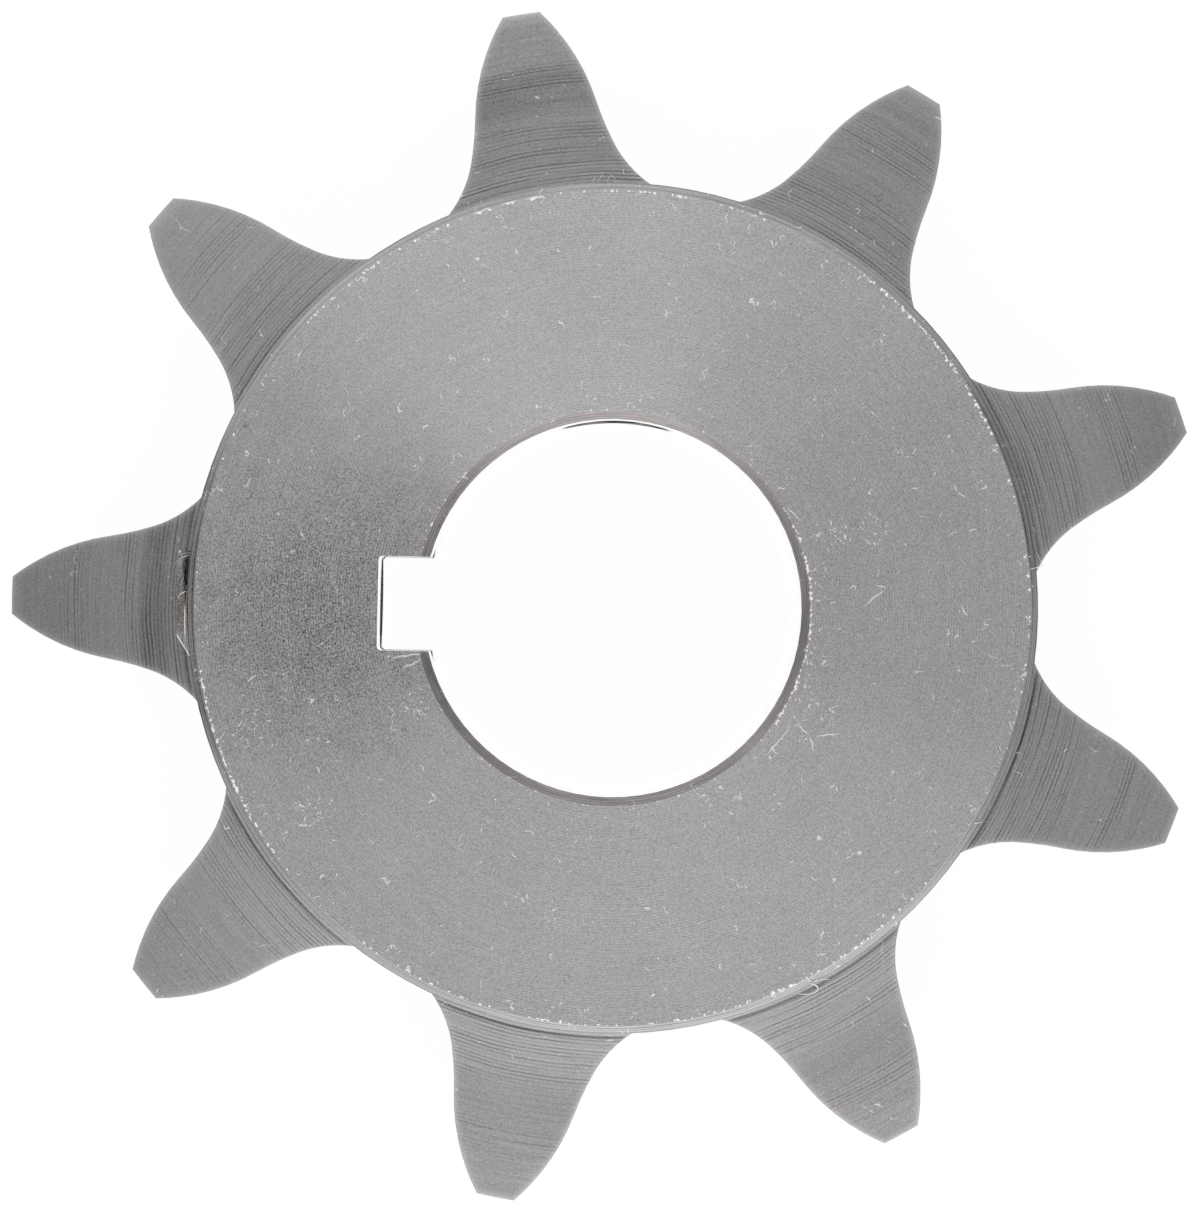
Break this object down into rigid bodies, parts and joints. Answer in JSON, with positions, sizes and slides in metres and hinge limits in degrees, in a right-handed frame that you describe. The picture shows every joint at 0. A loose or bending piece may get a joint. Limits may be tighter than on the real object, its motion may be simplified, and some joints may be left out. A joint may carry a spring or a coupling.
{
  "type": "roller chain sprocket",
  "caption": "Steel roller chain sprocket with a hub on one side, a keyed through bore and socket set screws that lock it to a shaft.",
  "frame": {"origin": "on the bore axis, in the middle plane of the teeth, which is the centre line of the chain", "axes": "+Z along the bore towards the hub face; the keyway opens from the bore towards -X, under one tooth; +Y towards the second set screw"},
  "size_m": [0.0829, 0.0842, 0.0413],
  "materials": {
    "machined_steel": "turned bare carbon steel, satin grey with a thin film of oil",
    "black_oxide_steel": "black oxide alloy steel, worn bright on its edges"
  },
  "bodies": {
    "root": {"sprocket": "machined_steel", "keyway_set_screw": "black_oxide_steel", "side_set_screw": "black_oxide_steel"}
  },
  "joints": []
}
